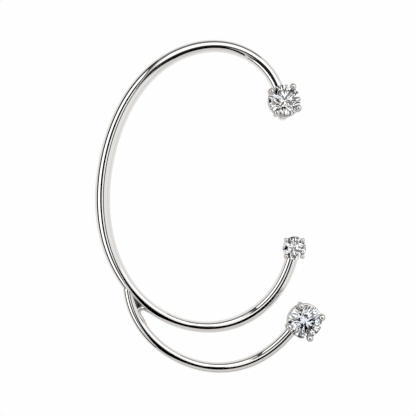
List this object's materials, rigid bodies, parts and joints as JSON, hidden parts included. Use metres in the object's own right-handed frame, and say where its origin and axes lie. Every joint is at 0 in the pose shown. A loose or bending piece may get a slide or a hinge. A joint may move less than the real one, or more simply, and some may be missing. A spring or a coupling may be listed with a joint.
{
  "type": "ear cuff",
  "caption": "Open oval ear cuff in polished white metal with a branching lower wire and round brilliant stones in four-claw settings.",
  "frame": {"origin": "under the middle of the whole cuff's box, on the surface that it lies on", "axes": "+X towards the open side of the hoop, where the stones are, +Y up the ear along the cuff's length, +Z the way the stones face"},
  "size_m": [0.0362, 0.0534, 0.0069],
  "materials": {
    "white_gold": "mirror polish",
    "diamond": "brilliant cut"
  },
  "bodies": {
    "root": {"cuff_frame": "white_gold", "stone_top": "diamond", "stone_middle": "diamond", "stone_bottom": "diamond"}
  },
  "joints": []
}
